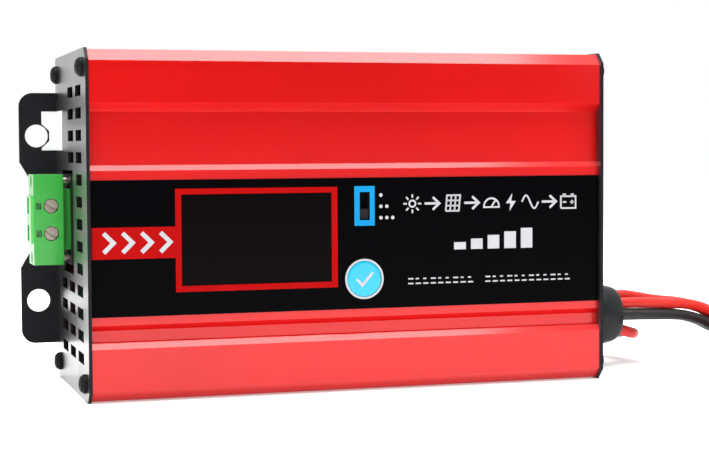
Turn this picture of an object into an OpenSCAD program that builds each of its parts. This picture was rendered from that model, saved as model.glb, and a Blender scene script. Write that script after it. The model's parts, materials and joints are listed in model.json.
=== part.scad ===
// Boost charge controller: a split aluminium extrusion closed by two steel end plates with
// mounting ears, a front film with display, button and selector, a pluggable terminal at the
// left end and a cable gland with six leads at the right end.
// Millimetres. X runs along the housing, Y from front to back, Z up. The origin is under the
// middle of the housing, at the level of its lower edge.

/* [Housing] */
// Length over the two end plates
body_l = 146.5; // [135:0.1:165]
// Depth of the end plates, front to back
body_d = 61; // [59:0.5:64]
// Height of the end plates
body_h = 93; // [92:0.5:96]
// Wall of the extrusion
wall = 1.8; // [1.5:0.1:2.2]
// Bevel on the front corners
bevel = 3; // [2:0.5:4]
// Thickness of the end plates
plate_t = 0.9; // [0.8:0.1:1.2]

/* [Mounting ears] */
// How far an ear reaches past its plate
ear_reach = 10.8; // [10:0.1:14]
// Height of an ear
ear_h = 73; // [66:1:80]
// Diameter of the mounting holes
ear_hole_d = 6.6; // [5:0.1:7]
// Distance of the holes from the plate's outer face
ear_hole_x = 5.8; // [5:0.1:7]
// Distance between the two holes of one ear
ear_hole_pitch = 48; // [44:0.5:54]

/* [Vents] */
// Length of a vent slot
slot_l = 10.6; // [8:0.1:12]
// Height of a vent slot
slot_h = 2.95; // [2:0.05:3.4]
// Rows of slots
slot_rows = 13; // [9:2:13]
// Distance between the rows
slot_pitch = 5.94; // [5.5:0.01:6]

/* [Front film] */
// Lower edge of the film
film_z = 22.6; // [21:0.1:24]
// Height of the film
film_h = 35.8; // [34:0.1:37]
// Thickness of the film
film_t = 0.3; // [0.2:0.05:0.4]

/* [Button and selector] */
// Diameter of the button cap
button_d = 10.1; // [9:0.1:11]
// Distance between two selector positions
selector_step = 2.1; // [1.8:0.1:2.2]

/* [Terminal] */
// Distance between the terminal's two ways
way_pitch = 7.62; // [7.5:0.01:7.62]
// Overall height of the plug
plug_h = 25.1; // [24:0.1:26]

/* [Gland and leads] */
// Largest diameter of the gland's cap nut
gland_d = 18.5; // [17:0.1:19]
// Diameter of a lead over its insulation
lead_d = 3.3; // [3:0.1:3.4]

/* [Hidden] */
$fn = 32;

front = -body_d/2;
back = body_d/2;
face = body_l/2;                // outer face of an end plate
shell_x = face - plate_t;       // ends of the extrusion
inset = 0.4;                    // the extrusion sits this far inside the plates' outline
mid_z = body_h/2;
shell_front_y = front + inset;
shell_back_y = back - inset;
shell_top = body_h - inset;
band = 2.4;                     // depth of the lengthwise grooves
step = 1.3;                     // depth of the face that carries the film
split_y = -4;                   // where the two halves of the extrusion meet
joint_gap = 0.1;
screw_in = 5;                   // end screws, from the plate's edges
screw_y = back - screw_in;
film_y = shell_front_y + step;  // face under the film
wall_y = film_y + wall;         // inside of that face

// display, button and selector, measured from the left end of the extrusion
window_x = -shell_x + 44.75;
window_z = 42.4;
window_w = 41.3;
window_h = 24.2;
button_x = -shell_x + 74.45;
button_z = 30.8;
selector_x = -shell_x + 74.85;
selector_z = 50.65;
selector_slot = [2.9, 7.7];
knob = [2.5, 2.7];
display_y = -20;                // front of the display board
display_t = 1.6;
display_z = [20.4, 61.4];

// main board, which lies parallel to the back
board_y = 16;
board_t = 1.6;
board_x = 137;
board_z = [2.5, 90.5];

// terminal
plug_y = [front + 33.5, front + 45.2];
plug_x = -face - 1.6;           // back of the plug's flanges
plug_z = mid_z + 0.6;           // middle of the terminal
plug_l = 8.3;                   // length of the plug's flanges
way_l = 8.9;                    // and of its two ways
header_x = [-face + 0.3, -face + 11.4];
way_z = [plug_z - way_pitch/2, plug_z + way_pitch/2];
clamp_x = -face - 5;
cutout_y = [front + 26.5, front + 47.4];
cutout_h = 28.6;

// gland
gland_y = front + 30;
gland_z = 15.5;
gland_hex = 17.6;
gland_base = 3.2;
gland_reach = 17.4;
gland_thread = 15.2;
gland_bore = 10.6;
mouth_x = face + gland_reach;

// chokes
choke_x = [-22, 24];
choke_z = [28, 28];
choke_r = 12.6;
choke_w = 8.4;
choke_t = 9.6;
turns = 20;
loop_r = 7.1;
copper_d = 1.2;

// leads: each route runs from inside the gland to its coil on the ground
leads_start_x = face - 5.25;
coil_right = [139, -19.15];
coil_rear = [46, 52.55];
coil_right_r = 19;
coil_rear_r = 17.35;
coil_right_size = [6.8, 13.2];   // section of the bundle: width and height
coil_rear_size = [3.5, 16.6];
route_red_1 = [[68, -2.2, 18.4], [80, -2.2, 18.4], [86, -2.3, 18.5], [91, -2.6, 18.8],
    [95, -2.7, 18.95], [101, -2.7, 18.75], [107.5, -2.6, 18.4], [114, -2.4, 18], [120, -2.15, 16.7],
    [126, -1.95, 14.1], [131.5, -1.82, 12.1]];
route_red_2 = [[68, 1.2, 18.4], [80, 1.2, 18.4], [84, 1.2, 18.5], [88, 1.2, 19.6],
    [91.2, 1.25, 20.6], [94.6, 1.3, 20.95], [98.5, 1.4, 20.4], [105.8, 1.4, 19.1], [114, 1.45, 18.1],
    [120, 1.5, 16.7], [126, 1.5, 14.1], [131.5, 1.52, 12.1]];
route_black_1 = [[68, -3.9, 15.5], [80, -3.9, 15.5], [86, -4, 15.5], [91, -4.1, 15.45],
    [97, -4, 15.35], [103, -3.7, 15.15], [109, -3.3, 14.9], [114, -2.95, 14.4], [120, -2.5, 12.7],
    [126, -2.1, 10], [131.5, -1.84, 8.45]];
route_black_2 = [[68, 2.9, 15.5], [80, 2.9, 15.5], [86, 2.8, 15.4], [91, 2.3, 15.25],
    [97, 1.9, 15.15], [103, 1.7, 15], [109, 1.55, 14.8], [114, 1.5, 14.3], [120, 1.5, 12.7],
    [126, 1.5, 10], [131.5, 1.54, 8.45]];
route_red_3 = [[68, -2.2, 12.6], [80, -2.2, 12.6], [86, -2.2, 12.4], [90.8, -1.95, 11.3],
    [94.5, -1.3, 10.2], [98, 0.9, 9.2], [100.3, 4.6, 8.7], [101, 9.3, 8.5], [99.9, 14.8, 8.5],
    [97.3, 20.4, 8.1], [94.7, 25, 7.15], [91.4, 29.2, 5.8], [88.3, 32.6, 5.1], [84, 34.8, 4.96],
    [79, 35.2, 4.96], [70, 35.2, 4.96], [60, 35.2, 4.96]];
route_black_3 = [[68, 1.2, 12.6], [80, 1.2, 12.6], [85.5, 1.2, 12.3], [89.5, 1.4, 11.2],
    [92.8, 2.1, 10.1], [95.6, 4.1, 9.4], [97.2, 7.3, 8.9], [97.3, 11, 8.4], [96.2, 15.2, 7.5],
    [94.5, 19.5, 6.1], [92.5, 24.2, 3.8], [91, 29, 2.2], [88.2, 32.6, 1.72], [84, 34.8, 1.66],
    [79, 35.2, 1.66], [70, 35.2, 1.66], [60, 35.2, 1.66]];

// colours
red = "#d8201e";
black = "#17171a";
green = "#2fb548";
steel = "#b9bcc0";

// ---------- helpers ----------
// a YZ outline drawn out along X, centred
module along_x(l) translate([-l/2, 0, 0]) rotate([90, 0, 90]) linear_extrude(l) children();

// a cylinder along X or Y from a start point
module rod_x(p, d, l) translate(p) rotate([0, 90, 0]) cylinder(d = d, h = l);
module rod_y(p, d, l) translate(p) rotate([-90, 0, 0]) cylinder(d = d, h = l);

// a block given by its lowest and highest corner
module block(a, b) translate(a) cube(b - a);

// a tube swept along points, as one closed solid with flat ends
function unit(v) = v/norm(v);
function tangent(p, i) = unit(p[min(i + 1, len(p) - 1)] - p[max(i - 1, 0)]);
function side(t) = unit(cross(t, abs(t[2]) > 0.95 ? [1, 0, 0] : [0, 0, 1]));
module swept(p, d, sides = 8) {
    rings = [for (i = [0:len(p) - 1]) let (t = tangent(p, i), u = side(t), v = cross(u, t))
        for (k = [0:sides - 1]) let (a = 360*(k + 0.5)/sides)
            p[i] + (cos(a)*u + sin(a)*v)*d/2];
    walls = [for (i = [0:len(p) - 2]) for (k = [0:sides - 1]) let (n = (k + 1)%sides)
        [i*sides + k, i*sides + n, (i + 1)*sides + n, (i + 1)*sides + k]];
    first = [for (k = [0:sides - 1]) sides - 1 - k];
    last = [for (k = [0:sides - 1]) (len(p) - 1)*sides + k];
    polyhedron(rings, concat(walls, [first, last]));
}

// pan-head screw along X: the head lies on x = 0 and reaches to -X, the shank to +X
module pan_screw(head_d, head_t, d, l, recess = 1) {
    difference() {
        union() {
            rotate([0, -90, 0]) rotate_extrude() polygon([[0, 0], [head_d/2, 0],
                [head_d/2, head_t*0.45], [head_d*0.36, head_t*0.88], [head_d*0.2, head_t], [0, head_t]]);
            rod_x([-0.01, 0, 0], d, l);
        }
        for (a = [0, 90]) rotate([a, 0, 0])
            block([-head_t - 0.1, -head_d*0.27, -head_d*0.07], [-head_t + recess, head_d*0.27, head_d*0.07]);
    }
}

// ---------- housing ----------
// front outline of the extrusion, from the bottom up, as [depth, z]
function front_steps() = [[0, inset + bevel], [0, 14.3], [1.5, 15.8], [band, 16.1], [band, 19],
    [step, 20.4], [step, 60.9], [band, 62.3], [band, 76.4], [0, 78.6], [0, shell_top - bevel]];

module front_profile() {
    steps = front_steps();
    outer = [for (i = [len(steps) - 1:-1:0]) [shell_front_y + steps[i][0], steps[i][1]]];
    inner = [for (p = steps) [shell_front_y + p[0] + wall, p[1]]];
    corner_y = shell_front_y + bevel;
    difference() {
        union() {
            polygon(concat([[split_y, shell_top], [corner_y, shell_top]], outer,
                [[corner_y, inset], [split_y, inset], [split_y, inset + wall],
                 [corner_y + 1, inset + wall]], inner,
                [[corner_y + 1, shell_top - wall], [split_y, shell_top - wall]]));
            for (z = [screw_in, body_h - screw_in]) translate([-screw_y, z]) circle(3.4);
            // lips that overlap the rear half
            for (z = [inset + wall/2 + joint_gap, shell_top - wall]) translate([split_y - 4, z])
                square([4 + 2.4, wall/2 - joint_gap]);
            // rails that hold the display board
            for (z = [display_z[0] - 1.4, display_z[1] + 0.2 - 1]) difference() {
                translate([wall_y - 0.5, z]) square([display_y + display_t + 1.7 - wall_y, 2.2]);
                translate([display_y - 0.1, display_z[0] - 0.1])
                    square([display_t + 0.2, display_z[1] - display_z[0] + 0.2]);
            }
        }
        for (z = [screw_in, body_h - screw_in]) translate([-screw_y, z]) circle(1.3);
    }
}

module shell_front() color(red) difference() {
    along_x(2*shell_x) front_profile();
    block([window_x - window_w/2, shell_front_y - 1, window_z - window_h/2],
          [window_x + window_w/2, wall_y + 0.4, window_z + window_h/2]);
    rod_y([button_x, shell_front_y - 1, button_z], button_d + 0.6, 6);
    // wider than the film's slot, so that no red edge shows
    slab(selector_x, selector_z, selector_slot[0] + 1.6, selector_slot[1] + 1.2,
        shell_front_y - 1, wall_y + 0.4);
}

module rear_profile() difference() {
    union() {
        difference() {
            polygon([[split_y + joint_gap, inset], [shell_back_y - 1, inset], [shell_back_y, inset + 1],
                [shell_back_y, shell_top - 1], [shell_back_y - 1, shell_top],
                [split_y + joint_gap, shell_top]]);
            translate([split_y - 1, inset + wall])
                square([shell_back_y - wall - split_y + 1, shell_top - inset - 2*wall]);
            // room for the front half's lips
            for (z = [inset + wall/2, shell_top - wall - joint_gap]) translate([split_y - 1, z])
                square([1 + 2.5, wall/2 + joint_gap]);
        }
        for (z = [screw_in, body_h - screw_in]) translate([screw_y, z]) circle(3.4);
        // rails that hold the main board
        for (y = [board_y - 1.5, board_y + board_t + 0.1])
            for (z = [inset + wall - 0.5, shell_top - wall - 2.3]) translate([y, z]) square([1.4, 2.8]);
    }
    for (z = [screw_in, body_h - screw_in]) translate([screw_y, z]) circle(1.3);
}

module shell_rear() color(red) along_x(2*shell_x) rear_profile();

// outline of an end plate in Y and Z
module plate_outline() polygon([[front + bevel, 0], [back - 1.2, 0], [back, 1.2], [back, body_h - 1.2],
    [back - 1.2, body_h], [front + bevel, body_h], [front, body_h - bevel], [front, bevel]]);

// one ear in X and Z, for the right end: x = 0 is the plate's outer face
module ear_outline() {
    r = 4;
    waist = 4.1;
    z1 = mid_z + ear_h/2;
    waist_z = mid_z + 1;
    half_in = 8.35;
    half_out = 15.4;
    difference() {
        union() {
            translate([-plate_t, mid_z - ear_h/2]) square([ear_reach + plate_t - r, ear_h]);
            translate([-plate_t, mid_z - ear_h/2 + r]) square([ear_reach + plate_t, ear_h - 2*r]);
            for (z = [mid_z - ear_h/2 + r, z1 - r]) translate([ear_reach - r, z]) circle(r);
        }
        polygon([[ear_reach + 1, waist_z - half_out - 1], [ear_reach, waist_z - half_out],
            [ear_reach - waist, waist_z - half_in], [ear_reach - waist, waist_z + half_in],
            [ear_reach, waist_z + half_out], [ear_reach + 1, waist_z + half_out + 1]]);
        for (s = [-1, 1]) translate([ear_hole_x, mid_z + s*ear_hole_pitch/2]) circle(d = ear_hole_d);
    }
}

// which slots a plate has: the left one has none beside the plug, nor at the top of the last
// column, and the right one has none round the gland
function left_slot(column, row) = column == 0 || row < slot_rows/2 - 3
    || (column == 1 && row > slot_rows/2 + 2);
function right_slot(column, row) = column != 1 || row > 2;

// end plate for the right end, with the slots of either side
module end_plate(left) {
    difference() {
        union() {
            translate([face - plate_t, 0, 0]) rotate([90, 0, 90]) linear_extrude(plate_t) plate_outline();
            translate([face, back, 0]) rotate([90, 0, 0]) linear_extrude(plate_t) ear_outline();
        }
        for (y = [-screw_y, screw_y]) for (z = [screw_in, body_h - screw_in])
            rod_x([face - plate_t - 1, y, z], 3.4, plate_t + 2);
        for (column = [0:2]) for (row = [0:slot_rows - 1]) {
            z = mid_z + (row - (slot_rows - 1)/2)*slot_pitch;
            y = front + 14.2 + column*15.5;
            if (left ? left_slot(column, row) : right_slot(column, row))
                block([face - plate_t - 1, y - slot_l/2, z - slot_h/2],
                      [face + 1, y + slot_l/2, z + slot_h/2]);
        }
    }
}

module end_plate_left() color(black) mirror([1, 0, 0]) difference() {
    end_plate(true);
    block([face - 3, cutout_y[0], mid_z - cutout_h/2], [face + 3, cutout_y[1], mid_z + cutout_h/2]);
}

module end_plate_right() color(black) difference() {
    end_plate(false);
    rod_x([face - 3, gland_y, gland_z], gland_thread + 0.4, 6);
}

module end_screws() for (y = [-screw_y, screw_y]) for (z = [screw_in, body_h - screw_in])
    translate([-face, y, z]) pan_screw(5.1, 2, 2.5, 9);

module plate_screws_left() color(black) end_screws();
module plate_screws_right() color(black) mirror([1, 0, 0]) end_screws();

// ---------- front film, display, button and selector ----------
module front_label() color(black) difference() {
    block([-shell_x, film_y - film_t, film_z], [shell_x, film_y, film_z + film_h]);
    block([window_x - window_w/2, film_y - 1, window_z - window_h/2],
          [window_x + window_w/2, film_y + 1, window_z + window_h/2]);
    rod_y([button_x, film_y - 1, button_z], button_d + 0.6, 2);
    block([selector_x - selector_slot[0]/2, film_y - 1, selector_z - selector_slot[1]/2],
          [selector_x + selector_slot[0]/2, film_y + 1, selector_z + selector_slot[1]/2]);
}

// a block centred on a front feature: size in X and Z, and its span in Y
module slab(x, z, w, h, y0, y1) block([x - w/2, y0, z - h/2], [x + w/2, y1, z + h/2]);

module display_window() color("#101214") {
    slab(window_x, window_z, window_w - 0.2, window_h - 0.2, film_y - 0.2, wall_y + 0.1);
    slab(window_x, window_z, window_w + 4, window_h + 4, wall_y + 0.05, wall_y + 1);
}

module lcd_module() color("#33373b") {
    slab(window_x, window_z, window_w + 1, window_h + 1, wall_y + 1.1, wall_y + 3);
    slab(window_x, window_z, window_w + 4, window_h + 4, wall_y + 2.9, display_y);
}

module display_board() color("#1d5c33") block([-54, display_y, display_z[0]],
    [14, display_y + display_t, display_z[1]]);

module display_ribbon() color("#c8c8c4") {
    block([-3, display_y + display_t, 55], [11, display_y + display_t + 3.4, 59]);
    block([-2, display_y + display_t + 3.3, 56.8], [10, board_y - 3.3, 57.3]);
    block([-3, board_y - 3.4, 55], [11, board_y, 59]);
}

module set_button() color("#1fc3e6") {
    r = button_d/2;
    top = film_y - film_t - 0.7;
    translate([button_x, 0, button_z]) rotate([-90, 0, 0]) rotate_extrude() polygon([
        [0, top], [r - 0.7, top], [r - 0.2, top + 0.15], [r, top + 0.5], [r, wall_y + 0.1],
        [r + 0.9, wall_y + 0.1], [r + 0.9, wall_y + 1.1], [1.7, wall_y + 1.1],
        [1.7, wall_y + 1.8], [0, wall_y + 1.8]]);
}

module button_switch() color("#2b2b2e") {
    slab(button_x, button_z, 6, 6, display_y - 3.5, display_y);
    rod_y([button_x, display_y - 4.5, button_z], 3.4, 1.1);
}

module selector_switch() color("#2b2b2e") difference() {
    slab(selector_x, selector_z, 7.4, 12.6, wall_y + 0.3, display_y);
    slab(selector_x, selector_z, 3.1, 8.6, wall_y - 1, wall_y + 2.6);
    slab(selector_x, selector_z, 5.2, 8.6, wall_y + 1.4, wall_y + 2.6);
}

module selector_slider() color(black) {
    z = selector_z - selector_step;
    slab(selector_x, z, knob[0], knob[1], film_y + 0.2, wall_y + 2.3);
    slab(selector_x, z, 4.6, knob[1], wall_y + 1.7, wall_y + 2.3);
}

// ---------- boards and power parts ----------
module main_board() color("#1d5c33") block([-board_x/2, board_y, board_z[0]],
    [board_x/2, board_y + board_t, board_z[1]]);

module choke_core(i) color("#c9b53a") translate([choke_x[i], board_y - loop_r - copper_d/2, choke_z[i]])
    rotate([90, 0, 0]) rotate_extrude($fn = 64) translate([choke_r - choke_w/2, -choke_t/2])
        square([choke_w, choke_t]);

module choke_winding(i) color("#b5622c")
    translate([choke_x[i], board_y - loop_r - copper_d/2, choke_z[i]])
        for (k = [0:turns - 1]) rotate([0, 360*k/turns, 0]) translate([choke_r, 0, 0])
            rotate_extrude($fn = 48) translate([loop_r, 0]) circle(d = copper_d, $fn = 16);

module choke_core_1() choke_core(0);
module choke_core_2() choke_core(1);
module choke_winding_1() choke_winding(0);
module choke_winding_2() choke_winding(1);

// a can capacitor that stands on the board
module can(x, z, d, h) translate([x, board_y, z]) rotate([90, 0, 0]) rotate_extrude() polygon([
    [0, 0], [d/2 - 0.4, 0], [d/2, 0.4], [d/2, 2.4], [d/2 - 0.5, 3], [d/2, 3.6], [d/2, h - 0.5],
    [d/2 - 0.5, h], [d/2 - 1.4, h], [d/2 - 1.4, h - 0.4], [0, h - 0.4]]);

module input_capacitors() color("#22242a") for (z = [15, 76]) can(-55, z, 16, 26);
module output_capacitors() color("#22242a") for (z = [38, 56, 74]) can(58, z, 16, 30);

transistor_x = [-33, -11, 11, 33];
bar_y = [-6, 2];
bar_z = 76;
tab_y = bar_y[1] + 0.3;

module heat_bar() color("silver") difference() {
    block([-42, bar_y[0], bar_z], [42, bar_y[1], shell_top - wall]);
    for (x = transistor_x) rod_y([x, bar_y[1] - 7, 82], 3.04, 8);
}

module transistor_pads() color("#8fa3b5") for (x = transistor_x) difference() {
    block([x - 5.6, bar_y[1], 70], [x + 5.6, tab_y, 86]);
    rod_y([x, bar_y[1] - 1, 82], 3.6, 3);
}

module power_transistors() color("#1b1b1e") for (x = transistor_x) {
    difference() {
        union() {
            block([x - 5, tab_y, 70], [x + 5, tab_y + 1.3, 85.5]);
            block([x - 5, tab_y + 1.2, 70], [x + 5, tab_y + 4.5, 79]);
        }
        rod_y([x, bar_y[1] - 1, 82], 3.6, 4);
    }
    for (lead = [-2.54, 0, 2.54]) {
        block([x + lead - 0.4, tab_y + 2, 67.4], [x + lead + 0.4, tab_y + 2.6, 70]);
        block([x + lead - 0.4, tab_y + 2, 66.8], [x + lead + 0.4, board_y, 67.4]);
    }
}

module transistor_screws() color(steel) for (x = transistor_x)
    translate([x, tab_y + 1.3, 82]) rotate([0, 0, -90]) pan_screw(5.4, 2, 3, 7.6);

module fuses() for (z = [37, 56]) {
    color("#2b2b2e") block([-60, board_y - 8, z - 3], [-46, board_y, z + 3]);
    color("#e8a33a") block([-58.5, board_y - 14, z - 1.9], [-47.5, board_y - 7.9, z + 1.9]);
}

module control_chip() color("#1b1b1e") block([-30, board_y - 1.6, 54], [-18, board_y, 62]);

module current_shunts() color("#8a8d90") for (x = [16, 28])
    block([x, board_y - 2.4, 53], [x + 8, board_y, 57]);

// ---------- terminal ----------
module terminal_header() color(black) difference() {
    block([header_x[0], plug_y[0] - 1.2, plug_z - plug_h/2], [header_x[1], board_y, plug_z + plug_h/2]);
    block([header_x[0] - 1, plug_y[0] + 0.6, plug_z - 8.9], [header_x[1] - 1.8, plug_y[0] + 10.2, plug_z + 8.9]);
    for (z = way_z) rod_x([header_x[1] - 3, plug_y[0] + 5.5, z], 1.06, 4);
    for (s = [-1, 1]) rod_x([header_x[0] - 1, plug_y[0] + 5.5, plug_z + s*10.6], 2.6, 6);
}

module header_pins() color(steel) for (z = way_z) {
    rod_x([header_x[1] - 9, plug_y[0] + 5.5, z], 1, 10);
    rod_y([header_x[1] + 0.9, plug_y[0] + 5.1, z], 1, board_y - plug_y[0] - 5.1);
}

module terminal_plug() color(green) difference() {
    union() {
        block([plug_x - plug_l, plug_y[0], plug_z - plug_h/2], [plug_x, plug_y[1], plug_z + plug_h/2]);
        translate([plug_x, plug_y[0], plug_z - 6.6]) linear_extrude(13.2) polygon([[0, 0],
            [1.3 - way_l, 0], [-way_l, 1.6], [-way_l, plug_y[1] - plug_y[0]], [0, plug_y[1] - plug_y[0]]]);
        block([plug_x - 1, plug_y[0] + 2.9, plug_z - 8.5], [plug_x + 10.6, plug_y[0] + 9.8, plug_z + 8.5]);
    }
    for (z = way_z) {
        // room for the clamp, the wire's way in, the screw's and the test probe's holes
        block([clamp_x - 2.9, plug_y[0] + 2.3, z - 3], [clamp_x + 2.9, plug_y[0] + 10.9, z + 3]);
        block([plug_x - way_l - 1, plug_y[0] + 6.2, z - 2.2], [clamp_x, plug_y[0] + 10.2, z + 2.2]);
        rod_y([clamp_x, plug_y[0] - 1, z], 4.1, 4);
        block([plug_x - way_l + 1.4, plug_y[0] - 1, z - 0.9], [plug_x - way_l + 2.8, plug_y[0] + 1.4, z + 0.9]);
        // room for the socket and its pin
        block([clamp_x, plug_y[0] + 5.95, z - 1.7], [plug_x + 2.1, plug_y[0] + 6.85, z + 1.7]);
        block([plug_x + 2, plug_y[0] + 3.8, z - 1.7], [plug_x + 11, plug_y[0] + 7.2, z + 1.7]);
    }
    for (s = [-1, 1]) {
        rod_x([plug_x - plug_l - 1, plug_y[0] + 5.5, plug_z + s*10.6], 2.5, plug_l + 2);
        rod_x([plug_x - plug_l - 1, plug_y[0] + 5.5, plug_z + s*10.6], 3.5, 2.8);
    }
}

module plug_sockets() color(steel) for (z = way_z) {
    block([clamp_x - 2.7, plug_y[0] + 6, z - 1.6], [plug_x + 2.2, plug_y[0] + 6.8, z + 1.6]);
    difference() {
        block([plug_x + 2.1, plug_y[0] + 3.9, z - 1.6], [plug_x + 10, plug_y[0] + 7.1, z + 1.6]);
        rod_x([plug_x + 2.9, plug_y[0] + 5.5, z], 1.2, 9);
    }
}

// rising cage clamp: the screw turns in its top plate
module wire_clamp(z) color(steel) difference() {
    block([clamp_x - 2.5, plug_y[0] + 4.5, z - 2.7], [clamp_x + 2.5, plug_y[0] + 10.6, z + 2.7]);
    block([clamp_x - 3, plug_y[0] + 5.7, z - 2.05], [clamp_x + 3, plug_y[0] + 9.6, z + 2.05]);
    rod_y([clamp_x, plug_y[0] + 4, z], 2.5, 3);
}

module clamp_screw(z) color("#b8a58c") translate([clamp_x, plug_y[0], z]) difference() {
    union() {
        rod_y([0, 0.7, 0], 3.8, 1.4);
        rod_y([0, 2, 0], 2.4, 3.9);
    }
    rotate([0, 35, 0]) block([-2, 0.6, -0.4], [2, 1.5, 0.4]);
}

module flange_screw(s) color(steel) translate([plug_x - plug_l, plug_y[0] + 5.5, plug_z + s*10.6])
    difference() {
        union() {
            rod_x([0.3, 0, 0], 3.2, 1.4);
            rod_x([1.6, 0, 0], 2.2, plug_l + 2.6);
        }
        block([0.2, -2, -0.3], [1, 2, 0.3]);
    }

module wire_clamp_1() wire_clamp(way_z[0]);
module wire_clamp_2() wire_clamp(way_z[1]);
module clamp_screw_1() clamp_screw(way_z[0]);
module clamp_screw_2() clamp_screw(way_z[1]);
module flange_screw_1() flange_screw(-1);
module flange_screw_2() flange_screw(1);

// ---------- gland and leads ----------
module hex_x(x, size, l) translate([x, gland_y, gland_z]) rotate([0, 90, 0])
    cylinder(d = size/cos(30), h = l, $fn = 6);

module bore_x(x, d, l) rod_x([x, gland_y, gland_z], d, l);

module gland_body() color(black) difference() {
    union() {
        hex_x(face, gland_hex, gland_base);
        bore_x(face - 5.2, gland_thread, 6);
        bore_x(face + gland_base - 0.1, 14.2, 7.1);
    }
    bore_x(face - 6, gland_bore, 20);
    bore_x(face + 5, 12.8, 8);
}

module gland_locknut() color(black) difference() {
    hex_x(shell_x - 3.4, 18, 3.4);
    bore_x(shell_x - 4, gland_thread + 0.1, 5);
}

module gland_seal() color("#2a2a2a") difference() {
    bore_x(face + 5.2, 12.6, 6);
    bore_x(face + 5, gland_bore, 7);
}

module gland_nut() color(black) {
    r = gland_d/2;
    l = gland_reach - gland_base - 0.2;
    translate([mouth_x - l, gland_y, gland_z]) rotate([0, 90, 0]) rotate_extrude($fn = 48) polygon([
        [7.25, 0], [r - 0.5, 0], [r, 0.5], [r, 7.6], [r - 0.1, 9.2], [r - 0.35, 10.8],
        [r - 0.65, 12.2], [r - 0.95, 13.2], [r - 1.2, l - 0.3], [r - 1.4, l], [r - 1.7, l],
        [r - 2.1, l - 0.5], [5.6, 8.4], [5.6, 8], [7.25, 8]]);
}

post_x = [61, 53];
post_z = [22, 15, 8];
post_h = 4;
module solder_posts() color(steel) for (x = post_x) for (z = post_z)
    rod_y([x, board_y - post_h, z], 3.4, post_h);

// the leads' ends inside the housing, from the gland to the posts
module inner_leads() {
    starts = [[1.7, 2.9], [3.4, 0], [1.7, -2.9], [-1.7, 2.9], [-3.4, 0], [-1.7, -2.9]];
    for (i = [0:5]) {
        s = [gland_y, gland_z] + starts[i];
        z = post_z[i%3];
        x = i < 3 ? post_x[0] : post_x[1];
        mid = i < 3 ? [[65.6, s[0] + 1.2, (s[1]*2 + z)/3], [62.6, 6.4, z]]
                    : [[63, s[0] + 0.2, (s[1] + z)/2], [57, 1.5, z], [54, 6, z]];
        color(i%3 == 1 ? black : red) swept(concat([[leads_start_x, s[0], s[1]],
            [leads_start_x - 1, s[0], s[1]]], mid, [[x, 9.6, z], [x, board_y - post_h, z]]), 3);
    }
}

module lead_red_1() color(red) swept(route_red_1, lead_d);
module lead_red_2() color(red) swept(route_red_2, lead_d);
module lead_red_3() color(red) swept(route_red_3, lead_d);
module lead_black_1() color(black) swept(route_black_1, lead_d);
module lead_black_2() color(black) swept(route_black_2, lead_d);
module lead_black_3() color(black) swept(route_black_3, lead_d);

// outer shape of a round coil that lies on the ground
module coil(centre, r, size) translate([centre[0], centre[1], 0]) rotate_extrude($fn = 48)
    translate([r - size[0]/2, 0]) square(size);
module lead_coil_right() color(red) coil(coil_right, coil_right_r, coil_right_size);
module lead_coil_rear() color(red) coil(coil_rear, coil_rear_r, coil_rear_size);

// plain sticker beside the upper hole of the left ear, wrapped round onto the plate
module ear_sticker() color("white") {
    hole_z = mid_z + ear_hole_pitch/2;
    translate([-face, back - plate_t, 0]) rotate([90, 0, 0]) linear_extrude(0.1)
        polygon([[-4.3, 77.6], [-4.3, hole_z + 3.5], [-2.1, hole_z + 1.5], [-2.1, hole_z - 1.5],
            [-4.3, hole_z - 3.5], [-4.3, 66.3], [0, 66.3], [0, 77.6]]);
    block([-face - 0.1, 16.2, 66.3], [-face, back - plate_t, 77.6]);
}

shell_front();
shell_rear();
end_plate_left();
end_plate_right();
plate_screws_left();
plate_screws_right();
front_label();
display_window();
lcd_module();
display_board();
display_ribbon();
set_button();
button_switch();
selector_switch();
selector_slider();
main_board();
terminal_header();
header_pins();
terminal_plug();
plug_sockets();
wire_clamp_1();
wire_clamp_2();
clamp_screw_1();
clamp_screw_2();
flange_screw_1();
flange_screw_2();
choke_core_1();
choke_core_2();
choke_winding_1();
choke_winding_2();
input_capacitors();
output_capacitors();
power_transistors();
transistor_pads();
heat_bar();
transistor_screws();
fuses();
control_chip();
current_shunts();
solder_posts();
gland_body();
gland_locknut();
gland_seal();
gland_nut();
inner_leads();
ear_sticker();
lead_red_1();
lead_red_2();
lead_red_3();
lead_black_1();
lead_black_2();
lead_black_3();
lead_coil_right();
lead_coil_rear();
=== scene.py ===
import bmesh
import bpy
import json
import math
from mathutils import Matrix, Vector


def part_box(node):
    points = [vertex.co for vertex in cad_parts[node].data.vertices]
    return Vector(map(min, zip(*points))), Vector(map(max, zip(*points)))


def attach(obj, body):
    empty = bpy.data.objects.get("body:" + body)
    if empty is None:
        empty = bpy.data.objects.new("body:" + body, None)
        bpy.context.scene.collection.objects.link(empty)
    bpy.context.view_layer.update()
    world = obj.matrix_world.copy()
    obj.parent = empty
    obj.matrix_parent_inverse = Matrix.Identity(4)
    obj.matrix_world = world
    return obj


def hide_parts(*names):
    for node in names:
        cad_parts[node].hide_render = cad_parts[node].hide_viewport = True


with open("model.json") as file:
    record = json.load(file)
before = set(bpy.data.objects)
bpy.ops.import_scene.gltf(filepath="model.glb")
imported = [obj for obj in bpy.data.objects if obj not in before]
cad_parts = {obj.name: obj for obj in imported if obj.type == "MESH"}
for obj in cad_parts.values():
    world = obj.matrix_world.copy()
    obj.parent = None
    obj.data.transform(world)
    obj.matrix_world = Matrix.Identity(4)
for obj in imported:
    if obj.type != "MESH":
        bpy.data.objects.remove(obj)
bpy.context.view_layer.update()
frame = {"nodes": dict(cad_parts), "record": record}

MM = 0.001
HOUSING = "housing"
SLOTS = {row["node"]: row["material_slot"] for row in frame["record"]["subparts"]}


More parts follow.
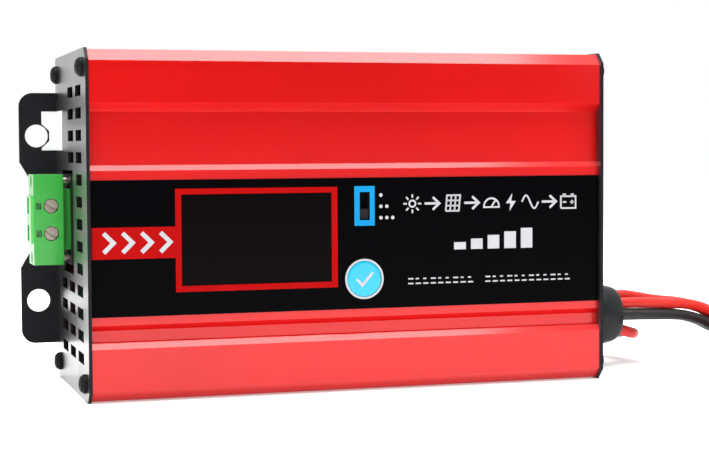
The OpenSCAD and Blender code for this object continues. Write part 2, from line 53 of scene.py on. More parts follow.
# ---------------------------------------------------------------- places worked out from the frame
def box_mm(node):
    low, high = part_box(node)
    return [c / MM for c in low], [c / MM for c in high]


BUTTON_LOW, BUTTON_HIGH = box_mm("set_button")
LEFT_END = box_mm("shell_front")[0][0] + 0.3     # where the film's print is measured from
INK_Y = box_mm("front_label")[0][1]              # outer face of the film


# ---------------------------------------------------------------- camera
CAMERA_AT = Vector((-0.13525, -0.4643, 0.0665))
CAMERA_YAW = math.radians(17.21)         # to the right of straight back
CAMERA_PITCH = math.radians(2.77)        # below level
CAMERA_ROLL = math.radians(-0.33)
CAMERA_LENS = 85.06                      # for a sensor 36 mm wide


def make_camera():
    forward = Vector((math.sin(CAMERA_YAW) * math.cos(CAMERA_PITCH),
                      math.cos(CAMERA_YAW) * math.cos(CAMERA_PITCH),
                      -math.sin(CAMERA_PITCH)))
    level = Vector((math.cos(CAMERA_YAW), -math.sin(CAMERA_YAW), 0))
    upright = level.cross(forward)
    right = math.cos(CAMERA_ROLL) * level + math.sin(CAMERA_ROLL) * upright
    up = math.cos(CAMERA_ROLL) * upright - math.sin(CAMERA_ROLL) * level
    data = bpy.data.cameras.new("camera")
    data.sensor_fit = "HORIZONTAL"
    data.sensor_width = 36
    data.lens = CAMERA_LENS
    data.clip_start = 0.01
    camera = bpy.data.objects.new("camera", data)
    camera.matrix_world = Matrix.Translation(CAMERA_AT) @ Matrix(
        (right, up, -forward)).transposed().to_4x4()
    bpy.context.scene.collection.objects.link(camera)
    bpy.context.scene.camera = camera


make_camera()


# ---------------------------------------------------------------- materials
class Nodes:
    """A material being built: set and link act on its shader, and the others add nodes to it."""

    def __init__(self, name, color, roughness, metallic=0.0):
        self.material = bpy.data.materials.new(name)
        self.material.use_nodes = True
        self.tree = self.material.node_tree
        self.shader = self.tree.nodes["Principled BSDF"]
        self.set("Base Color", (*color, 1))
        self.set("Roughness", roughness)
        self.set("Metallic", metallic)
        self.coordinates = self.tree.nodes.new("ShaderNodeTexCoord").outputs

    def set(self, socket, value):
        self.shader.inputs[socket].default_value = value

    def link(self, output, socket):
        self.tree.links.new(output, self.shader.inputs[socket])

    def stretched(self, scale):
        node = self.tree.nodes.new("ShaderNodeMapping")
        node.inputs["Scale"].default_value = scale
        self.tree.links.new(self.coordinates["Object"], node.inputs["Vector"])
        return node.outputs["Vector"]

    def noise(self, scale, detail, stretch=(1, 1, 1)):
        node = self.tree.nodes.new("ShaderNodeTexNoise")
        node.inputs["Scale"].default_value = scale
        node.inputs["Detail"].default_value = detail
        node.inputs["Roughness"].default_value = 0.55
        self.tree.links.new(self.stretched(stretch), node.inputs["Vector"])
        return node.outputs["Fac"]

    def ramp(self, fac, low, high, start=0.3, end=0.7):
        node = self.tree.nodes.new("ShaderNodeMapRange")
        node.inputs["From Min"].default_value = start
        node.inputs["From Max"].default_value = end
        node.inputs["To Min"].default_value = low
        node.inputs["To Max"].default_value = high
        self.tree.links.new(fac, node.inputs["Value"])
        return node.outputs["Result"]

    def mixed(self, fac, a, b):
        node = self.tree.nodes.new("ShaderNodeMix")
        node.data_type = "RGBA"
        self.tree.links.new(fac, node.inputs["Factor"])
        node.inputs["A"].default_value = (*a, 1)
        node.inputs["B"].default_value = (*b, 1)
        return node.outputs["Result"]

    def bump(self, height, strength, distance, edge=0.0):
        node = self.tree.nodes.new("ShaderNodeBump")
        node.inputs["Strength"].default_value = strength
        node.inputs["Distance"].default_value = distance
        self.tree.links.new(height, node.inputs["Height"])
        if edge:
            soft = self.tree.nodes.new("ShaderNodeBevel")
            soft.samples = 4
            soft.inputs["Radius"].default_value = edge
            self.tree.links.new(soft.outputs["Normal"], node.inputs["Normal"])
        self.link(node.outputs["Normal"], "Normal")


FINE = 0.00002                           # height of a surface's fine grain


def tone(color, factor):
    return tuple(min(1.0, c * factor) for c in color)


def plastic(name, color, roughness, grain=900, vary=0.12, edge=0.0003, coat=0.0, shine=0.5):
    """Moulded plastic: fine grain, a little variation in colour and gloss."""
    m = Nodes(name, color, roughness)
    m.set("Specular IOR Level", shine)
    broad = m.noise(60, 4)
    m.link(m.mixed(m.ramp(broad, 0, 1), tone(color, 1 - vary), tone(color, 1 + vary)), "Base Color")
    m.link(m.ramp(m.noise(220, 3), roughness - 0.06, roughness + 0.08), "Roughness")
    m.bump(m.noise(grain, 2), 0.35, FINE, edge)
    if coat:
        m.set("Coat Weight", coat)
        m.set("Coat Roughness", 0.06)
    return m.material


def metal(name, color, roughness, stretch=(1, 1, 1), scale=500):
    """Bare metal, brushed along the axis whose stretch is smallest."""
    m = Nodes(name, color, roughness, 1.0)
    lines = m.noise(scale, 4, stretch)
    m.link(m.mixed(m.ramp(lines, 0, 1), tone(color, 0.88), tone(color, 1.12)), "Base Color")
    m.link(m.ramp(lines, roughness - 0.06, roughness + 0.1), "Roughness")
    m.bump(lines, 0.3, 0.00001, 0.0002)
    return m.material


# ---------------------------------------------------------------- finishes of the record's slots
RED = (0.53, 0.002, 0.002)
INK_BLACK = (0.0012, 0.0012, 0.0016)


def red_anodised():
    """Satin anodised extrusion, with faint die lines along its length."""
    m = Nodes("red_anodised", RED, 0.36, 0.35)
    lines = m.noise(900, 3, (0.01, 1, 1))
    cloud = m.noise(14, 4)
    m.link(m.mixed(m.ramp(cloud, 0, 1), tone(RED, 0.92), tone(RED, 1.08)), "Base Color")
    m.link(m.ramp(lines, 0.31, 0.43), "Roughness")
    m.bump(lines, 0.25, FINE, 0.00035)
    m.set("Specular IOR Level", 0.1)
    m.set("Coat Weight", 0.75)
    m.set("Coat Roughness", 0.13)
    return m.material


def black_steel():
    """Black sheet: lacquered and smooth on the end faces, matte on the ears and the cut edges."""
    m = Nodes("black_steel", (0.012, 0.012, 0.014), 0.24)
    facing = m.tree.nodes.new("ShaderNodeSeparateXYZ")
    m.tree.links.new(m.coordinates["Normal"], facing.inputs["Vector"])
    along = m.tree.nodes.new("ShaderNodeMath")
    along.operation = "ABSOLUTE"
    m.tree.links.new(facing.outputs["X"], along.inputs[0])
    m.link(m.ramp(along.outputs["Value"], 0.06, 0.7, 0.5, 0.9), "Specular IOR Level")
    m.link(m.ramp(along.outputs["Value"], 0.0, 0.5, 0.5, 0.9), "Coat Weight")
    m.set("Coat Roughness", 0.26)
    m.link(m.mixed(m.ramp(m.noise(30, 4), 0, 1), (0.01, 0.01, 0.012), (0.015, 0.015, 0.017)),
           "Base Color")
    m.link(m.ramp(m.noise(60, 3), 0.26, 0.34), "Roughness")
    return m.material


def black_film():
    """Gloss printed film with a barely visible orange-peel surface."""
    m = Nodes("black_film", INK_BLACK, 0.16)
    m.set("Specular IOR Level", 0.015)
    m.link(m.ramp(m.noise(90, 3), 0.13, 0.2), "Roughness")
    m.bump(m.noise(240, 2), 0.08, FINE)
    return m.material


def smoked_window():
    m = Nodes("smoked_window", (0.0025, 0.0018, 0.002), 0.1)
    m.link(m.ramp(m.noise(40, 3), 0.08, 0.14), "Roughness")
    m.bump(m.noise(120, 2), 0.04, FINE)
    m.set("Specular IOR Level", 0.02)
    return m.material


def circuit_board():
    """Solder resist with a pattern of tracks showing through."""
    m = Nodes("circuit_board", (0.01, 0.09, 0.035), 0.35)
    track = m.tree.nodes.new("ShaderNodeTexBrick")
    track.inputs["Scale"].default_value = 60
    track.inputs["Mortar Size"].default_value = 0.03
    track.inputs["Color1"].default_value = (0.008, 0.075, 0.03, 1)
    track.inputs["Color2"].default_value = (0.014, 0.11, 0.045, 1)
    track.inputs["Mortar"].default_value = (0.03, 0.17, 0.07, 1)
    turned = m.tree.nodes.new("ShaderNodeMapping")
    turned.inputs["Rotation"].default_value = (math.radians(90), 0, 0)
    m.tree.links.new(m.coordinates["Object"], turned.inputs["Vector"])
    m.tree.links.new(turned.outputs["Vector"], track.inputs["Vector"])
    m.link(track.outputs["Color"], "Base Color")
    m.bump(m.noise(400, 2), 0.2, FINE)
    return m.material


def insulation(name, color):
    """Silicone lead: matte with a soft sheen and fine streaks along it."""
    m = Nodes(name, color, 0.42)
    streak = m.noise(300, 3, (0.15, 1, 1))
    m.link(m.mixed(m.ramp(streak, 0, 1), tone(color, 0.88), tone(color, 1.1)), "Base Color")
    m.link(m.ramp(m.noise(500, 3), 0.36, 0.5), "Roughness")
    m.bump(m.noise(900, 2), 0.3, FINE)
    m.set("Specular IOR Level", 0.35)
    return m.material


def winding_copper():
    m = Nodes("copper_wire", (0.55, 0.17, 0.05), 0.25, 0.8)
    m.link(m.ramp(m.noise(500, 3), 0.2, 0.34), "Roughness")
    m.link(m.mixed(m.ramp(m.noise(120, 3), 0, 1), (0.5, 0.14, 0.04), (0.62, 0.2, 0.06)), "Base Color")
    m.bump(m.noise(600, 2), 0.2, FINE)
    m.set("Coat Weight", 0.6)
    return m.material


MATERIALS = {
    "red_anodised": red_anodised(),
    "black_steel": black_steel(),
    "black_screws": plastic("black_screws", (0.01, 0.01, 0.011), 0.3, 600, edge=0.00015, shine=0.06),
    "black_film": black_film(),
    "smoked_window": smoked_window(),
    "display_glass": plastic("display_glass", (0.03, 0.034, 0.038), 0.18, 300),
    "circuit_board": circuit_board(),
    "ribbon": plastic("ribbon", (0.42, 0.42, 0.4), 0.5),
    "blue_cap": plastic("blue_cap", (0.0, 0.37, 0.56), 0.22, 400, 0.05, coat=0.3),
    "black_switch": plastic("black_switch", (0.01, 0.01, 0.011), 0.45, shine=0.15),
    "green_plastic": plastic("green_plastic", (0.022, 0.36, 0.03), 0.33, 500, 0.08, edge=0.0006, coat=0.5),
    "tinned_metal": metal("tinned_metal", (0.62, 0.62, 0.6), 0.28),
    "plated_screws": metal("plated_screws", (0.42, 0.36, 0.31), 0.26, scale=200),
    "choke_core": plastic("choke_core", (0.62, 0.48, 0.08), 0.5, 700),
    "copper_wire": winding_copper(),
    "capacitor_sleeve": plastic("capacitor_sleeve", (0.012, 0.013, 0.02), 0.22, 300),
    "transistor_black": plastic("transistor_black", (0.02, 0.02, 0.021), 0.55),
    "thermal_pad": plastic("thermal_pad", (0.3, 0.38, 0.46), 0.7),
    "bare_aluminium": metal("bare_aluminium", (0.72, 0.73, 0.74), 0.32, (0.02, 1, 1)),
    "fuse_amber": plastic("fuse_amber", (0.75, 0.3, 0.03), 0.2, 300),
    "shunt_grey": metal("shunt_grey", (0.5, 0.5, 0.5), 0.35),
    "gland_black": plastic("gland_black", (0.012, 0.014, 0.016), 0.36, 700, 0.1, edge=0.0004, shine=0.18),
    "seal_rubber": plastic("seal_rubber", (0.02, 0.02, 0.02), 0.7),
    "red_insulation": insulation("red_insulation", (0.62, 0.02, 0.012)),
    "black_insulation": insulation("black_insulation", (0.012, 0.012, 0.013)),
    "white_sticker": plastic("white_sticker", (0.78, 0.78, 0.79), 0.35, 400, 0.03),
}
WHITE_INK = plastic("white_ink", (0.42, 0.42, 0.44), 0.4, 300, 0.05, edge=0)
RED_INK = plastic("red_ink", (0.33, 0.001, 0.001), 0.35, 300, 0.05, edge=0, shine=0.06)
BLUE_INK = plastic("blue_ink", (0.004, 0.23, 0.5), 0.35, 300, 0.05, edge=0, shine=0.1)


def finish(piece, slot, material=None):
    """Give a new piece the material of its record slot, or one of its own."""
    piece.data.materials.clear()
    piece.data.materials.append(material or MATERIALS[slot])


def dress_cad_nodes():
    """Put the slot's material on every node that came from the CAD model."""
    for node, slot in SLOTS.items():
        for holder in frame["nodes"][node].material_slots:
            holder.link = "OBJECT"
            holder.material = MATERIALS[slot]


dress_cad_nodes()


# ---------------------------------------------------------------- mesh helpers
def new_piece(name, mesh, slot, body=HOUSING, material=None):
    piece = bpy.data.objects.new(name, mesh)
    bpy.context.scene.collection.objects.link(piece)
    finish(piece, slot, material)
    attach(piece, body)
    return piece


def mesh_from(name, build):
    """A mesh made by build(bm), written in millimetres and kept in metres."""
    bm = bmesh.new()
    build(bm)
    bmesh.ops.recalc_face_normals(bm, faces=bm.faces)
    bmesh.ops.scale(bm, vec=(MM, MM, MM), verts=bm.verts)
    mesh = bpy.data.meshes.new(name)
    bm.to_mesh(mesh)
    bm.free()
    return mesh


def smooth(piece, angle=40):
    piece.data.shade_smooth()
    piece.data.set_sharp_from_angle(angle=math.radians(angle))
    return piece


# ---------------------------------------------------------------- leads
LEAD_D = 3.3
LEAD_LENGTH = 270
COILS = {"right": "lead_coil_right", "rear": "lead_coil_rear"}       # and the CAD nodes they fill
INNER_LANE, OUTER_LANE = 17.35, 20.65    # radius of a lane of a coil
LAYER = 3.3                              # height of one layer of a coil
LOWEST = 1.66                            # centre of a lead that lies on the ground
COIL_STEP = 7.5                          # degrees between two points of a turn
DROP_FROM, DROP_TO = 300, 350            # degrees of the turn over which a lead steps down
TIP_D, TIP_LENGTH = 1.9, 5               # tinned end, beyond the insulation
TIP_SEATED = 0.5                         # and how far it starts inside it
TIE_THICK, TIE_WIDE = 0.5, 2.6
TIE_HEAD = (2.2, 4.2, 3.6)
# per lead that carries a tie: the tie's name, its coil and its place round the coil, in degrees
TIES = {"lead_red_1": ("tie_right", "right", -60), "lead_red_3": ("tie_rear", "rear", 120)}

ROUTES = {
    "lead_red_1": [
        (68, -2.2, 18.4), (80, -2.2, 18.4), (86, -2.3, 18.5), (91, -2.6, 18.8), (95, -2.7, 18.95),
        (101, -2.7, 18.75), (107.5, -2.6, 18.4), (114, -2.4, 18), (120, -2.15, 16.7),
        (126, -1.95, 14.1), (131.5, -1.82, 12.1)],
    "lead_red_2": [
        (68, 1.2, 18.4), (80, 1.2, 18.4), (84, 1.2, 18.5), (88, 1.2, 19.6), (91.2, 1.25, 20.6),
        (94.6, 1.3, 20.95), (98.5, 1.4, 20.4), (105.8, 1.4, 19.1), (114, 1.45, 18.1),
        (120, 1.5, 16.7), (126, 1.5, 14.1), (131.5, 1.52, 12.1)],
    "lead_black_1": [
        (68, -3.9, 15.5), (80, -3.9, 15.5), (86, -4, 15.5), (91, -4.1, 15.45), (97, -4, 15.35),
        (103, -3.7, 15.15), (109, -3.3, 14.9), (114, -2.95, 14.4), (120, -2.5, 12.7),
        (126, -2.1, 10), (131.5, -1.84, 8.45)],
    "lead_black_2": [
        (68, 2.9, 15.5), (80, 2.9, 15.5), (86, 2.8, 15.4), (91, 2.3, 15.25), (97, 1.9, 15.15),
        (103, 1.7, 15), (109, 1.55, 14.8), (114, 1.5, 14.3), (120, 1.5, 12.7), (126, 1.5, 10),
        (131.5, 1.54, 8.45)],
    "lead_red_3": [
        (68, -2.2, 12.6), (80, -2.2, 12.6), (86, -2.2, 12.4), (90.8, -1.95, 11.3),
        (94.5, -1.3, 10.2), (98, 0.9, 9.2), (100.3, 4.6, 8.7), (101, 9.3, 8.5), (99.9, 14.8, 8.5),
        (97.3, 20.4, 8.1), (94.7, 25, 7.15), (91.4, 29.2, 5.8), (88.3, 32.6, 5.1), (84, 34.8, 4.96),
        (79, 35.2, 4.96), (70, 35.2, 4.96), (60, 35.2, 4.96)],
    "lead_black_3": [
        (68, 1.2, 12.6), (80, 1.2, 12.6), (85.5, 1.2, 12.3), (89.5, 1.4, 11.2), (92.8, 2.1, 10.1),
        (95.6, 4.1, 9.4), (97.2, 7.3, 8.9), (97.3, 11, 8.4), (96.2, 15.2, 7.5), (94.5, 19.5, 6.1),
        (92.5, 24.2, 3.8), (91, 29, 2.2), (88.2, 32.6, 1.72), (84, 34.8, 1.66), (79, 35.2, 1.66),
        (70, 35.2, 1.66), (60, 35.2, 1.66)],
}

# per lead: the coil it ends in, its lane there and the layer it arrives on
COILED = {
    "lead_red_1": ("right", INNER_LANE, 3), "lead_red_2": ("right", OUTER_LANE, 3),
    "lead_black_1": ("right", INNER_LANE, 2), "lead_black_2": ("right", OUTER_LANE, 2),
    "lead_red_3": ("rear", INNER_LANE, 1), "lead_black_3": ("rear", INNER_LANE, 0),
}


def rounded(points, step=1.5):
    """Points every step or so along a smooth curve through the given ones (centripetal spline)."""
    given = [Vector(p) for p in points]
    ends = [2 * given[0] - given[1]] + given + [2 * given[-1] - given[-2]]
    line = []
    for p0, p1, p2, p3 in zip(ends, ends[1:], ends[2:], ends[3:]):
        t1 = (p1 - p0).length ** 0.5
        t2 = t1 + (p2 - p1).length ** 0.5
        t3 = t2 + (p3 - p2).length ** 0.5
        count = max(2, round((p2 - p1).length / step))
        for i in range(count):
            t = t1 + (t2 - t1) * i / count
            a1 = p0.lerp(p1, t / t1)
            a2 = p1.lerp(p2, (t - t1) / (t2 - t1))
            a3 = p2.lerp(p3, (t - t2) / (t3 - t2))
            b1 = a1.lerp(a2, t / t2)
            b2 = a2.lerp(a3, (t - t1) / (t3 - t1))
            line.append(b1.lerp(b2, (t - t1) / (t2 - t1)))
    line.append(given[-1])
    return line


def length_of(line):
    return sum((b - a).length for a, b in zip(line, line[1:]))


def eased(x):
    x = min(max(x, 0), 1)
    return x * x * (3 - 2 * x)


def coil_centre(kind):
    low, high = box_mm(COILS[kind])
    return Vector(((low[0] + high[0]) / 2, (low[1] + high[1]) / 2, 0))


def coil_point(kind, radius, layer, degrees):
    """A point on a lead's coil. On the right a lead comes in above, on the +Y side, heading +X, and
    steps down two layers after its first turn. At the rear two leads come in on the -Y side, heading
    -X, and climb side by side as one even helix."""
    turn = math.radians(degrees)
    if kind == "right":
        layer -= 2 * eased((degrees - DROP_FROM) / (DROP_TO - DROP_FROM))
        across = Vector((math.sin(turn), math.cos(turn), 0))
    else:
        layer += degrees / 180
        across = -Vector((math.sin(turn), math.cos(turn), 0))
    return coil_centre(kind) + radius * across + Vector((0, 0, LOWEST + LAYER * layer))


def lead_line(name):
    """The lead's whole centreline: its route, a straight run to the coil, then turns up to its length."""
    kind, radius, layer = COILED[name]
    line = rounded(ROUTES[name] + [tuple(coil_point(kind, radius, layer, 0))])
    spare = LEAD_LENGTH - length_of(line)
    end = math.degrees(spare / radius)
    steps = round(end / COIL_STEP)
    return line + [coil_point(kind, radius, layer, end * i / steps) for i in range(1, steps + 1)]


def tube(name, line, diameter, slot):
    data = bpy.data.curves.new(name, "CURVE")
    data.dimensions = "3D"
    data.bevel_depth = diameter / 2 * MM
    data.bevel_resolution = 6
    data.use_fill_caps = True
    spline = data.splines.new("POLY")
    spline.points.add(len(line) - 1)
    for point, place in zip(spline.points, line):
        point.co = (*(place * MM), 1)
    spline.use_smooth = True
    piece = bpy.data.objects.new(name, data)
    bpy.context.scene.collection.objects.link(piece)
    finish(piece, slot)
    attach(piece, HOUSING)
    return piece


def coil_tie(name, kind, degrees):
    """A releasable tie: a flat band once round the bundle, with its small head on the outside, at the
    given angle round the coil."""
    inner = INNER_LANE - LEAD_D / 2
    outer = (OUTER_LANE if kind == "right" else INNER_LANE) + LEAD_D / 2
    top = box_mm(COILS[kind])[1][2]
    r = 1.4
    outline = []
    for across, height, start in ((outer - r, top - r, 0), (inner + r, top - r, 90),
                                  (inner + r, r, 180), (outer - r, r, 270)):
        for step in range(7):
            a = math.radians(start + 15 * step)
            outline.append((across, height, math.cos(a), math.sin(a)))
    turn = Matrix.Translation(coil_centre(kind)) @ Matrix.Rotation(math.radians(degrees), 4, "Z")

    def build(bm):
        rings = []
        for side, reach in ((-1, r), (-1, r + TIE_THICK), (1, r + TIE_THICK), (1, r)):
            rings.append([bm.verts.new(turn @ Vector((across + reach * ca, side * TIE_WIDE / 2,
                                                      max(0.02, height + reach * sa))))
                          for across, height, ca, sa in outline])
        for ring, after in zip(rings, rings[1:] + rings[:1]):
            for i in range(len(ring)):
                j = (i + 1) % len(ring)
                bm.faces.new((ring[i], ring[j], after[j], after[i]))
        head = bmesh.ops.create_cube(bm, size=1, matrix=turn @ Matrix.Translation(
            (outer + TIE_THICK + 0.9, 0, top / 2)) @ Matrix.Diagonal((*TIE_HEAD, 1)))
        edges = list({e for v in head["verts"] for e in v.link_edges})
        bmesh.ops.bevel(bm, geom=edges, offset=0.5, segments=3, affect="EDGES")

    return smooth(new_piece(name, mesh_from(name, build), "black_switch"))


def make_leads():
    ties = {lead: coil_tie(*tie) for lead, tie in TIES.items()}
    for name in ROUTES:
        line = lead_line(name)
        lead = tube(name + "_wire", line, LEAD_D,
                    "red_insulation" if "red" in name else "black_insulation")
        ahead = (line[-1] - line[-2]).normalized()
        tip_line = [line[-1] - TIP_SEATED * ahead, line[-1] + TIP_LENGTH * ahead]
        tip = tube(name + "_tinned_end", tip_line, TIP_D, "tinned_metal")
        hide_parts(name, COILS[COILED[name][0]])
        on_it = [tip]
        if name in ties:
            on_it.append(ties[name])
        if name == "lead_red_1":
            on_it += ["gland_body", "gland_nut", "gland_seal", "gland_locknut"]


make_leads()


# ---------------------------------------------------------------- print on the front film
# on the film, s counts from LEFT_END and z is the height; a frame is (s0, z0, s1, z1)
INK_T = 0.03                             # how far the print stands off the film
DISPLAY_FRAME, DISPLAY_CLEAR = (22.2, 28.7, 66.8, 56), (23.8, 30.3, 65.1, 54.5)
TAB_FRAME = (0.1, 37.8, 22.2, 46.1)
SELECTOR_FRAME, SELECTOR_CLEAR = (71.6, 45.3, 77.4, 56.1), (73.1, 46.8, 76, 54.5)
CHEVRONS, CHEVRON_FROM, CHEVRON_PITCH = 4, 3.2, 5
CHEVRON_DEEP, CHEVRON_HALF, CHEVRON_LINE = 2.6, 2.55, 1.15
CHEVRON_Z = 42.05
DOT_FROM, DOT_PITCH, DOT_R = 79.2, 1.7, 0.5
DOT_ROWS = (53.6, 50.5, 47.4)            # one dot in the first, two in the next, then three
ICONS = ("sun", "arrow", "panel", "arrow", "gauge", "bolt", "wave", "arrow", "battery")
ICON_FROM, ICON_PITCH, ICON_Z, ICON_SIZE = 85.6, 5.84, 48.4, 5.4
LEVELS, LEVEL_FROM, LEVEL_PITCH, LEVEL_WIDE = 5, 100.5, 5, 3.5
LEVEL_Z, LEVEL_FIRST, LEVEL_GROWS = 38.2, 2, 0.9
DASH_GROUPS = ((87, 9), (109.8, 12))     # start and number of dashes
DASH_PITCH, DASH_LONG, DASH_SHORT, DASH_HIGH = 2.2, 1.5, 0.9, 0.4
DASH_LOWER, DASH_UPPER = 28.9, 30.2
TICK_LINE = 0.7
BUTTON_AT = ((BUTTON_LOW[0] + BUTTON_HIGH[0]) / 2 - LEFT_END, (BUTTON_LOW[2] + BUTTON_HIGH[2]) / 2)
BUTTON_R = (BUTTON_HIGH[2] - BUTTON_LOW[2]) / 2


def bar(s0, z0, s1, z1):
    return [(s0, z0), (s1, z0), (s1, z1), (s0, z1)]


def frame_bars(outer, inner):
    s0, z0, s1, z1 = outer
    a0, b0, a1, b1 = inner
    return [bar(s0, z0, s1, b0), bar(s0, b1, s1, z1), bar(s0, b0, a0, b1), bar(a1, b0, s1, b1)]


def disc(s, z, r, steps=16):
    return [(s + r * math.cos(2 * math.pi * i / steps), z + r * math.sin(2 * math.pi * i / steps))
            for i in range(steps)]


def ring(s, z, inner, outer, steps, start=0, sweep=360):
    rays = [math.radians(start + sweep * i / steps) for i in range(steps + 1)]
    return [[(s + r * math.cos(a), z + r * math.sin(a)) for r, a in
             ((inner, a0), (outer, a0), (outer, a1), (inner, a1))] for a0, a1 in zip(rays, rays[1:])]


def strokes(points, width):
    """A bent line of even width, as one quad per segment, with mitred corners."""
    line = [Vector(p) for p in points]
    sides = []
    for i, here in enumerate(line):
        before = (here - line[i - 1]).normalized() if i else (line[1] - here).normalized()
        after = (line[i + 1] - here).normalized() if i < len(line) - 1 else before
        normal = Vector((-before.y - after.y, before.x + after.x)).normalized()
        reach = width / 2 / max(0.4, normal.dot(Vector((-before.y, before.x))))
        sides.append((here + reach * normal, here - reach * normal))
    return [[tuple(a0), tuple(b0), tuple(b1), tuple(a1)] for (a0, b0), (a1, b1) in zip(sides, sides[1:])]


def printed(name, outlines, slot, material, face_y=INK_Y, body=HOUSING):
    def build(bm):
        for outline in outlines:
            front = [bm.verts.new((LEFT_END + s, face_y - INK_T, z)) for s, z in outline]
            back = [bm.verts.new((LEFT_END + s, face_y, z)) for s, z in outline]
            bm.faces.new(front)
            bm.faces.new(back)
            for i in range(len(outline)):
                j = (i + 1) % len(outline)
                bm.faces.new((front[i], front[j], back[j], back[i]))

    return new_piece(name, mesh_from(name, build), slot, body, material)


def icon(kind, s, z, size):
    """A pictogram in a square of the given size whose lower left corner is at s, z. Any kind that isn't
    named below is the wave."""
    w = 0.085 * size
    u = size / 10

    def at(*points):
        return [(s + a * u, z + b * u) for a, b in points]

    if kind == "sun":
        rays = [strokes(at((5 + 3 * c, 5 + 3 * d), (5 + 4.8 * c, 5 + 4.8 * d)), w)[0]
                for c, d in ((math.cos(k * math.pi / 4), math.sin(k * math.pi / 4)) for k in range(8))]
        return ring(s + 5 * u, z + 5 * u, 1.2 * u, 2.1 * u, 20) + rays
    if kind == "panel":
        grid = strokes(at((1.4, 1), (8.6, 1), (9.4, 9), (2.2, 9), (1.4, 1)), w)
        for k in (1, 2):
            grid += strokes(at((1.4 + k * 2.4, 1), (2.2 + k * 2.4, 9)), w)
            grid += strokes(at((1.4 + k * 0.27, 1 + k * 2.67), (8.6 + k * 0.27, 1 + k * 2.67)), w)
        return grid
    if kind == "arrow":
        head = strokes(at((5.2, 1.8), (8.8, 5), (5.2, 8.2)), w * 1.4)
        return strokes(at((0.8, 5), (8, 5)), w * 1.4) + head
    if kind == "battery":
        cell = strokes(at((0.8, 1.4), (9.2, 1.4), (9.2, 7.6), (0.8, 7.6), (0.8, 1.4)), w)
        cell += [at((a, 7.6), (a + 1.8, 7.6), (a + 1.8, 9), (a, 9)) for a in (1.8, 6.4)]
        cell += strokes(at((1.9, 4.6), (3.9, 4.6)), w) + strokes(at((6.1, 4.6), (8.1, 4.6)), w)
        return cell + strokes(at((7.1, 3.6), (7.1, 5.6)), w)
    if kind == "bolt":
        return [at((5.8, 9.6), (2.2, 4.4), (4.8, 4.4)), at((4.2, 0.4), (7.8, 5.6), (5.2, 5.6)),
                at((4.8, 4.4), (4.2, 0.4), (5.2, 5.6), (5.8, 9.6))]
    if kind == "gauge":
        dial = ring(s + 5 * u, z + 3 * u, 3.7 * u, 4.6 * u, 24, 0, 180)
        return dial + strokes(at((0.4, 2.6), (9.6, 2.6)), w) + strokes(at((5, 3), (7.2, 6)), w)
    wave = [(0.4 + 0.46 * k, 5 + 3.4 * math.sin(k * math.pi / 10)) for k in range(21)]
    return strokes(at(*wave), w)


def print_frames():
    printed("print_display_frame", frame_bars(DISPLAY_FRAME, DISPLAY_CLEAR) + [bar(*TAB_FRAME)],
            "red_anodised", RED_INK)
    printed("print_selector_frame", frame_bars(SELECTOR_FRAME, SELECTOR_CLEAR), "blue_cap", BLUE_INK)
    printed("print_button_ring", ring(*BUTTON_AT, BUTTON_R - 1, BUTTON_R - 0.45, 64),
            "white_sticker", WHITE_INK, BUTTON_LOW[1], "button")


def print_chevrons():
    chevrons = []
    for k in range(CHEVRONS):
        s = CHEVRON_FROM + CHEVRON_PITCH * k
        chevrons += strokes([(s, CHEVRON_Z - CHEVRON_HALF), (s + CHEVRON_DEEP, CHEVRON_Z),
                             (s, CHEVRON_Z + CHEVRON_HALF)], CHEVRON_LINE)
    printed("print_tab_chevrons", chevrons, "white_sticker", WHITE_INK, INK_Y - INK_T)


def print_marks():
    """Dots beside the selector, a row of pictograms, rising level bars and two groups of dashes."""
    marks = []
    for row, z in enumerate(DOT_ROWS):
        marks += [disc(DOT_FROM + DOT_PITCH * k, z, DOT_R) for k in range(row + 1)]
    for k, kind in enumerate(ICONS):
        marks += icon(kind, ICON_FROM + ICON_PITCH * k, ICON_Z, ICON_SIZE)
    for k in range(LEVELS):
        s = LEVEL_FROM + LEVEL_PITCH * k
        marks.append(bar(s, LEVEL_Z, s + LEVEL_WIDE, LEVEL_Z + LEVEL_FIRST + LEVEL_GROWS * k))
    for start, count in DASH_GROUPS:
        for k in range(count):
            s = start + DASH_PITCH * k
            upper = DASH_SHORT if k % 3 else DASH_LONG
            marks.append(bar(s, DASH_LOWER, s + DASH_LONG, DASH_LOWER + DASH_HIGH))
            marks.append(bar(s, DASH_UPPER, s + upper, DASH_UPPER + DASH_HIGH))
    printed("print_front_marks", marks, "white_sticker", WHITE_INK)


def print_tick():
    s, z = BUTTON_AT
    printed("print_button_tick", strokes([(s - 2.2, z), (s - 0.6, z - 1.7), (s + 2.4, z + 1.7)], TICK_LINE),
            "white_sticker", WHITE_INK, BUTTON_LOW[1], "button")


print_frames()
print_chevrons()
print_marks()
print_tick()


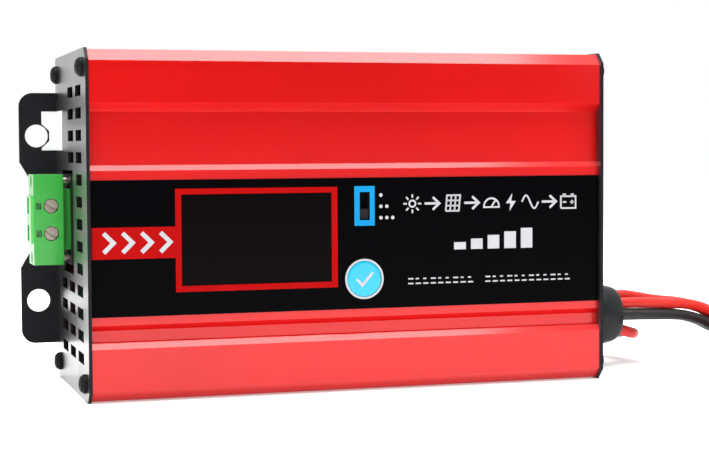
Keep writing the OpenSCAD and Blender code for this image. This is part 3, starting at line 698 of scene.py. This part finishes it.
# ---------------------------------------------------------------- floor, lights, world
def area_light(name, place, target, width, height, watts):
    data = bpy.data.lights.new(name, "AREA")
    data.shape = "RECTANGLE"
    data.size = width
    data.size_y = height
    data.energy = watts
    light = bpy.data.objects.new(name, data)
    aim = Vector(target) - Vector(place)
    light.matrix_world = Matrix.Translation(place) @ aim.to_track_quat("-Z", "Y").to_matrix().to_4x4()
    bpy.context.scene.collection.objects.link(light)


def make_floor():
    reach = 3
    corners = [(-reach, -reach, 0), (reach, -reach, 0), (reach, reach, 0), (-reach, reach, 0)]
    floor_mesh = bpy.data.meshes.new("floor")
    floor_mesh.from_pydata(corners, [], [(0, 1, 2, 3)])
    floor = bpy.data.objects.new("floor", floor_mesh)
    bpy.context.scene.collection.objects.link(floor)
    paper = Nodes("paper", (0.85, 0.85, 0.85), 0.8)
    paper.set("Specular IOR Level", 0.1)
    paper.set("Emission Color", (1, 1, 1, 1))
    paper.set("Emission Strength", 0.35)
    floor_mesh.materials.append(paper.material)


def make_world():
    """White all round, but dim on the camera's side, so that the gloss film stays black."""
    world = bpy.data.worlds.new("world")
    world.use_nodes = True
    tree = world.node_tree
    split = tree.nodes.new("ShaderNodeSeparateXYZ")
    tree.links.new(tree.nodes.new("ShaderNodeTexCoord").outputs["Generated"], split.inputs["Vector"])
    shade = tree.nodes.new("ShaderNodeMapRange")
    shade.interpolation_type = "SMOOTHSTEP"
    shade.inputs["From Min"].default_value = -0.75
    shade.inputs["From Max"].default_value = -0.2
    shade.inputs["To Min"].default_value = 0.06
    shade.inputs["To Max"].default_value = 1.0
    tree.links.new(split.outputs["Y"], shade.inputs["Value"])
    tree.links.new(shade.outputs["Result"], tree.nodes["Background"].inputs["Strength"])
    tree.nodes["Background"].inputs["Color"].default_value = (1, 1, 1, 1)
    bpy.context.scene.world = world


def make_lights():
    area_light("key", (-0.5, -0.7, 0.8), (0, 0, 0.05), 0.7, 0.7, 5)
    area_light("fill", (0.7, -0.6, 0.4), (0, 0, 0.05), 0.8, 0.6, 1.5)
    area_light("top", (0, -0.1, 0.9), (0, -0.1, 0), 0.8, 0.8, 16)


make_floor()
make_world()
make_lights()
bpy.context.scene.view_settings.view_transform = "Standard"
